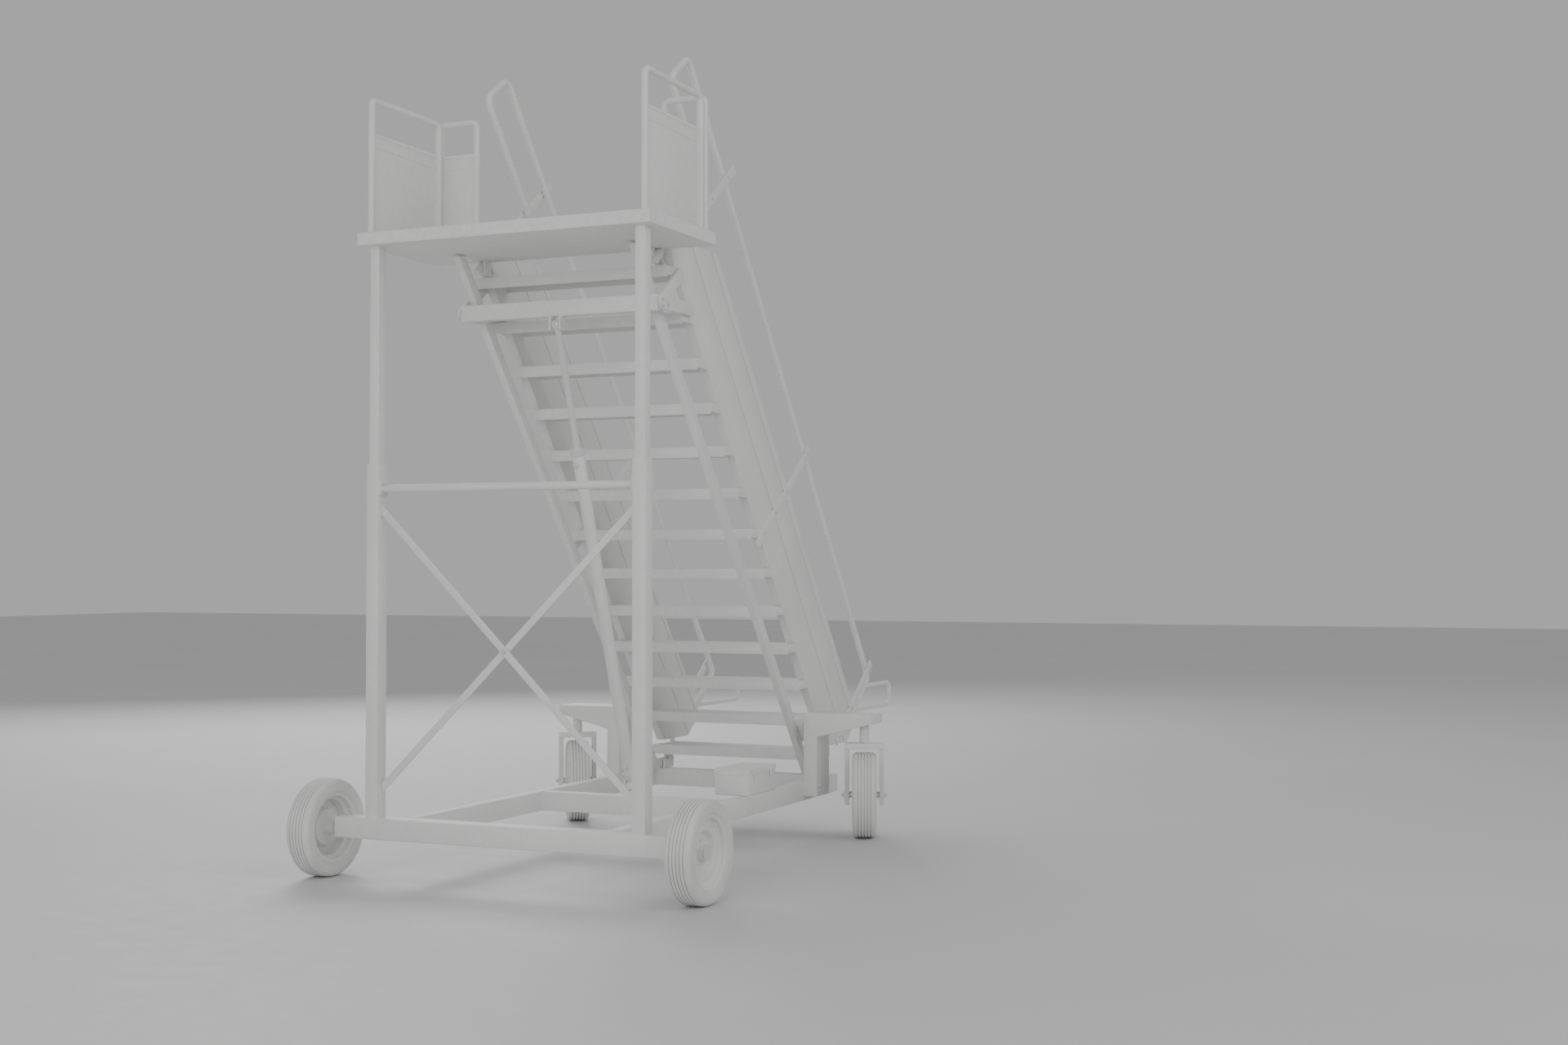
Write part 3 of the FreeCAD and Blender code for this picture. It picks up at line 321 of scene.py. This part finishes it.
RIM = [(-0.031, None), (-0.031, 0.031), (-0.029, 0.033), (-0.006, 0.034), (-0.003, 0.038), (-0.003, 0.078),
       (-0.006, 0.083), (-0.026, 0.094), (-0.029, 0.099), (-0.029, 0.118), (-0.0265, 0.121), (-0.0265, 0.136),
       (-0.029, 0.139), (-0.031, 0.145), (-0.036, 0.149), (-0.050, 0.151), (-0.0545, 0.158), (-0.0560, 0.162),
       (-0.0555, 0.165), (-0.0525, 0.165), (-0.0505, 0.163), (-0.049, 0.158), (0.049, 0.158), (0.0505, 0.163),
       (0.0525, 0.165), (0.0555, 0.165), (0.056, 0.162), (0.0545, 0.158), (0.050, 0.151), (0.026, 0.149),
       (0.018, 0.134), (-0.022, 0.132), (-0.022, 0.098), (0.005, 0.084), (0.005, 0.036), (0.008, 0.033),
       (0.056, 0.033), (0.058, 0.031), (0.058, None)]
NUT_CIRCLE, NUT_START, VALVE_CIRCLE, VALVE_ANGLE = 0.056, 0.3, 0.128, 1.1


def rim(name, body, centre, axis, outward, bore):
    """A dished disc with five nuts and a valve; None in RIM stands for the bore."""
    profile = [(-outward * a, bore if r is None else r) for a, r in RIM]
    bm = bmesh.new()
    lathe(bm, profile, centre, axis, steps=112)
    axis = Vector(axis).normalized()
    place = Matrix.Translation(Vector(centre)) @ turn_from(axis)
    for k in range(5):
        angle = 2 * math.pi * k / 5 + NUT_START
        seat = place @ Vector((outward * 0.003, NUT_CIRCLE * math.cos(angle), NUT_CIRCLE * math.sin(angle)))
        bolt(bm, seat, axis * outward, 0.0085)
    valve = place @ Vector((outward * 0.0285, VALVE_CIRCLE * math.cos(VALVE_ANGLE),
                            VALVE_CIRCLE * math.sin(VALVE_ANGLE)))
    stem = [(-0.003, 0.005), (0.012, 0.0042), (0.013, 0.005), (0.024, 0.005), (0.026, 0.004)]
    disc_stack(bm, valve, axis * outward, stem, 14)
    finish_piece(f"{name}_disc", bm, body, "rim_paint", smooth=30, replaced=(name,))


NUT_SEAT = 0.1082
for side, sign in SIDES:
    joint = JOINT[f"front_{side}_spin"]
    tyre(f"tyre_front_{side}", f"wheel_front_{side}", joint["pos_m"], joint["axis"])
    rim(f"rim_front_{side}", f"wheel_front_{side}", joint["pos_m"], (1, 0, 0), sign, 0.02005)
    joint = JOINT[f"rear_{side}_spin"]
    axis = Vector(joint["axis"])
    axis = axis if axis.x > 0 else -axis
    tyre(f"tyre_rear_{side}", f"wheel_rear_{side}", joint["pos_m"], axis)
    rim(f"rim_rear_{side}", f"wheel_rear_{side}", joint["pos_m"], axis, sign, 0.01705)
    bm = bmesh.new()
    for end in (-1, 1):
        bolt(bm, Vector(joint["pos_m"]) + axis * end * NUT_SEAT, axis * end, 0.0125)
    finish_piece(f"axle_nuts_{side}", bm, f"swivel_{side}", "bright_steel")

# ---- chassis fittings ----
bm = bmesh.new()
for side, sign in SIDES:
    low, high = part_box(f"outer_post_{side}")
    weld(bm, flat_ring(low, high, low[2]), 0.0035)
    side_low, side_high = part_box(f"side_beam_{side}")
    corners = [(side_low[0], side_low[1], side_low[2]), (side_high[0], side_low[1], side_low[2]),
               (side_high[0], side_low[1], side_high[2]), (side_low[0], side_low[1], side_high[2])]
    weld(bm, corners, 0.0035)
    inner = side_low[0] if sign > 0 else side_high[0]
    for front in CROSS_MEMBER_YS:
        y = front_axle + front
        weld(bm, upright_ring(inner, y, y + CROSS_MEMBER_WIDTH, side_low[2], side_high[2]), 0.003)
    weld(bm, circle((sign * AXLE_STUB_X, front_axle, TYRE_RADIUS), (1, 0, 0), 0.0205), 0.003)
    weld(bm, upright_ring(sign * TIE_LUG_X, front_axle + TIE_LUG_FRONT, front_axle + TIE_LUG_REAR,
                          TIE_LUG_LOW, TIE_LUG_HIGH), 0.002)
    outer = side_high[0] if sign > 0 else side_low[0]
    bracket_low, bracket_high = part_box(f"swivel_bracket_{side}")
    weld(bm, upright_ring(outer, bracket_low[1], bracket_high[1], bracket_low[2], side_high[2]), 0.003)
finish_piece("chassis_welds", bm, "chassis", "frame_paint")

bm = bmesh.new()
for side, sign in SIDES:
    low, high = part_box(f"swivel_bracket_{side}")
    for y in (low[1] + 0.035, high[1] - 0.035):
        for z in BRACKET_BOLT_ZS:
            bolt(bm, (sign * BRACKET_LEG_X, y, z), (sign, 0, 0), 0.008)
    for y in TIE_BOLT_YS:
        for z, size in TIE_BOLTS:
            bolt(bm, (sign * TIE_BOLT_X, front_axle + y, z), (-sign, 0, 0), size)
    pivot = JOINT["flight_tilt"]["pos_m"]
    for x, way in PIVOT_LUG_FACES:
        bolt(bm, (sign * x, pivot[1], pivot[2]), (sign * way, 0, 0), 0.006)
brace_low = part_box("cross_braces")[0]
bolt(bm, (0, brace_low[1], BRACE_CROSSING), (0, -1, 0), 0.009)
finish_piece("chassis_bolts", bm, "chassis", "bright_steel")

bm = bmesh.new()
for side, sign in SIDES:
    low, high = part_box(f"side_beam_{side}")
    box(bm, (low[0] + 0.0045, high[1] - 0.010, low[2] + 0.0045),
        (high[0] - 0.0045, high[1] - 0.0015, high[2] - 0.0045), chamfer=0.0015)
finish_piece("beam_end_caps", bm, "chassis", "slide_plastic")

pack_low, pack_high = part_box("power_pack")
bm = bmesh.new()
lid = 0.0022
box(bm, (pack_low[0] - lid, pack_low[1] - lid, pack_high[2] - 0.03),
    (pack_high[0] + lid, pack_high[1] + lid, pack_high[2] + lid), chamfer=0.002)
for y in (pack_low[1] + 0.07, pack_high[1] - 0.07):
    for x, out in ((pack_low[0] - lid, -1), (pack_high[0] + lid, 1)):
        box(bm, (min(x, x + out * 0.005), y - 0.011, pack_high[2] - 0.052),
            (max(x, x + out * 0.005), y + 0.011, pack_high[2] - 0.018), chamfer=0.001)
finish_piece("power_pack_lid", bm, "chassis", "frame_paint")

# ---- platform fittings ----
bm = bmesh.new()
deck_low, deck_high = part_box("deck_plate")
soffit_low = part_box("deck_soffit")[0]
top = deck_high[2]
for side, sign in SIDES:
    low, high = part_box(f"inner_post_{side}")
    weld(bm, flat_ring(low, high, soffit_low[2]), 0.003)
    for y in (GUARD_FRONT, GUARD_REAR):
        weld(bm, circle((sign * GUARD_X, front_axle + y, top), (0, 0, 1), 0.0165), 0.0025)
    for x in WING_XS:
        weld(bm, circle((sign * x, front_axle + WING_Y, top), (0, 0, 1), 0.0165), 0.0025)
finish_piece("platform_welds", bm, "platform", "guard_paint")

bm = bmesh.new()
rows, columns = 12, 30
STUD_FOOT = ((-0.014, 0), (-0.006, -0.0042), (0.006, -0.0042), (0.014, 0), (0.006, 0.0042), (-0.006, 0.0042))
for row in range(rows):
    for column in range(columns):
        x = deck_low[0] + 0.04 + (deck_high[0] - deck_low[0] - 0.08) * column / (columns - 1)
        y = deck_low[1] + 0.05 + (deck_high[1] - deck_low[1] - 0.12) * row / (rows - 1)
        if abs(abs(x) - GUARD_X) < 0.03 and row in (0, rows - 1):
            continue
        tilt = math.radians(45 if (row + column) % 2 else -45)
        ahead = Vector((math.cos(tilt), math.sin(tilt), 0))
        side_way = Vector((-math.sin(tilt), math.cos(tilt), 0))
        centre = Vector((x, y, top - 0.0005))
        foot = [bm.verts.new(centre + ahead * a + side_way * b) for a, b in STUD_FOOT]
        crest = [bm.verts.new(centre + ahead * a + Vector((0, 0, 0.0018))) for a in (-0.008, 0.008)]
        for a, b, c in ((0, 1, 0), (5, 0, 0), (2, 3, 1), (3, 4, 1)):
            bm.faces.new((foot[a], foot[b], crest[c]))
        bm.faces.new((foot[1], foot[2], crest[1], crest[0]))
        bm.faces.new((foot[4], foot[5], crest[0], crest[1]))
        bm.faces.new(list(reversed(foot)))
finish_piece("deck_studs", bm, "platform", "deck_paint", smooth=20)

HEM, PROUD = 0.014, 0.0024


def hems(bm, across_x, low, high):
    """A folded hem round a panel and the seam below its upper edge, on both faces."""
    for face in (-1, 1):
        seam = high[2] - 0.065
        bars = [((low[0], low[2]), (high[0], low[2] + HEM)), ((low[0], high[2] - HEM), (high[0], high[2])),
                ((low[0] + HEM, seam - 0.004), (high[0] - HEM, seam + 0.004)),
                ((low[0], low[2] + HEM), (low[0] + HEM, high[2] - HEM)),
                ((high[0] - HEM, low[2] + HEM), (high[0], high[2] - HEM))]
        for (u0, v0), (u1, v1) in bars:
            near, far = sorted((low[1] + face * 0.0008, low[1] + face * (0.001 + PROUD)))
            if across_x:
                box(bm, (near, u0, v0), (far, u1, v1), chamfer=0.0003)
            else:
                box(bm, (u0, near, v0), (u1, far, v1), chamfer=0.0003)


bm = bmesh.new()
for sign in (-1, 1):
    front, rear = (front_axle + y for y in SIDE_PANEL_YS)
    hems(bm, True, (front, sign * GUARD_X, PANEL_LOW), (rear, sign * GUARD_X, PANEL_HIGH))
    near, far = sorted(sign * x for x in WING_PANEL_XS)
    hems(bm, False, (near, front_axle + WING_Y, PANEL_LOW), (far, front_axle + WING_Y, PANEL_HIGH))
finish_piece("panel_hems", bm, "platform", "panel_paint")

# ---- flight fittings ----
SLOPE = math.radians(52.4)


def flight_point(x, along, out):
    """A point by its distance down the slope and square to it."""
    return Vector((x, front_axle + SLOPE_TOP_Y + along * math.cos(SLOPE) + out * math.sin(SLOPE),
                   DECK_TOP - along * math.sin(SLOPE) + out * math.cos(SLOPE)))


def tread_place(number):
    """The height of a tread's top and the Y of its back edge."""
    tread_top = FIRST_TREAD - number * RISE
    return tread_top, front_axle + TREAD_BACK_Y + (DECK_TOP - tread_top) / math.tan(SLOPE)


bm = bmesh.new()
for number in range(TREADS):
    tread_top, back = tread_place(number)
    for row in range(9):
        y = back + 0.018 + row * 0.0247
        reach = 0.53 if y < back + 0.075 else 0.488
        box(bm, (-reach, y - 0.0035, tread_top - 0.0005), (reach, y + 0.0035, tread_top + 0.0016),
            chamfer=0.0012)
finish_piece("tread_ribs", bm, "flight", "flight_paint")

bm = bmesh.new()
out_of_slope = Vector((0, math.sin(SLOPE), math.cos(SLOPE)))
for sign in (-1, 1):
    weld(bm, circle(flight_point(sign * HANDRAIL_X, 3.42, 0.526), out_of_slope, 0.0175), 0.003)
    for number in range(TREADS):
        tread_top, back = tread_place(number)
        x = sign * STRINGER_X
        weld(bm, [(x, back + 0.09, tread_top), (x, back + 0.233, tread_top)], 0.0026, closed=False)
finish_piece("flight_welds", bm, "flight", "flight_paint")

bm = bmesh.new()
# each stanchion's place down the slope, then how far out from it the large and the small bolts are
STANCHIONS = ((0.075, (0.30, 0.40, 0.49), (0.625, 0.858)),
              (1.780, (0.11, 0.30, 0.49), (0.858,)),
              (3.345, (0.24, 0.38, 0.49), (0.858,)))
for sign in (-1, 1):
    for along, large, small in STANCHIONS:
        for out, size in [(out, 0.0075) for out in large] + [(out, 0.006) for out in small]:
            bolt(bm, flight_point(sign * STANCHION_X, along, out), (sign, 0, 0), size)
finish_piece("flight_bolts", bm, "flight", "bright_steel")

# ---- lifting frame fittings ----
bm = bmesh.new()
for sign in (-1, 1):
    for y, z in SLIDE_BOLTS:
        bolt(bm, (sign * SLIDE_X, front_axle + y, z), (sign, 0, 0), 0.0075)
    for along in (2.975, 3.045):
        bolt(bm, flight_point(sign * SUB_RAIL_X, along, -0.04), out_of_slope, 0.0055)
head = Vector((0, front_axle + CYLINDER_HEAD[0], CYLINDER_HEAD[1]))
for sign in (-1, 1):
    bolt(bm, head + Vector((sign * 0.038, 0, 0)), (sign, 0, 0), 0.008)
finish_piece("lifting_bolts", bm, "lifting_frame", "bright_steel")

# ---- cylinder fittings ----
foot = Vector((0, front_axle + CYLINDER_FOOT[0], CYLINDER_FOOT[1]))
lift = (head - foot).normalized()
bm = bmesh.new()
lathe(bm, [(-0.03, 0.031), (-0.03, 0.034), (-0.027, 0.036), (0.002, 0.036), (0.005, 0.034), (0.005, 0.026),
           (0.009, 0.024), (0.009, 0.0172), (-0.03, 0.0172)], foot + lift * BARREL_LENGTH, lift, steps=64)
lathe(bm, [(0, 0.0305), (0, 0.0345), (0.03, 0.0345), (0.033, 0.0305)], foot + lift * 0.045, lift, steps=64)
for along in (0.11, 1.72):
    port = [(0.02, 0.011), (0.038, 0.011), (0.039, 0.013), (0.049, 0.013), (0.051, 0.010)]
    disc_stack(bm, foot + lift * along, (0, -1, 0), port, 6)
finish_piece("cylinder_fittings", bm, "cylinder", "bright_steel")

# ---- floor and light ----
floor_mesh = bpy.data.meshes.new("floor")
bm = bmesh.new()
bmesh.ops.create_grid(bm, x_segments=1, y_segments=1, size=40)
bm.to_mesh(floor_mesh)
bm.free()
floor = bpy.data.objects.new("floor", floor_mesh)
bpy.context.scene.collection.objects.link(floor)
floor.data.materials.append(coat("floor", (0.66, 0.66, 0.66), 0.62, spread=0.02, grain=60, bump=0.03,
                                 patches=0.4, worn=1.0))

world = bpy.data.worlds.new("studio")
bpy.context.scene.world = world
world.use_nodes = True
world.node_tree.nodes["Background"].inputs["Color"].default_value = (0.9, 0.9, 0.9, 1)
world.node_tree.nodes["Background"].inputs["Strength"].default_value = 0.49


def softbox(name, location, target, size, power):
    """A rectangular lamp of the given width and height, aimed at the target."""
    data = bpy.data.lights.new(name, "AREA")
    data.shape = "RECTANGLE"
    data.size, data.size_y = size
    data.energy = power
    lamp = bpy.data.objects.new(name, data)
    bpy.context.scene.collection.objects.link(lamp)
    lamp.location = location
    lamp.rotation_euler = (Vector(target) - Vector(location)).to_track_quat("-Z", "Y").to_euler()


softbox("back", (-7, 7, 6), (0, 0, 1.5), (8, 4), 560)
softbox("right", (9, -3, 6), (0, 0, 1.5), (8, 5), 200)
softbox("front", (1, -11, 4), (0, 0, 1.5), (9, 5), 270)
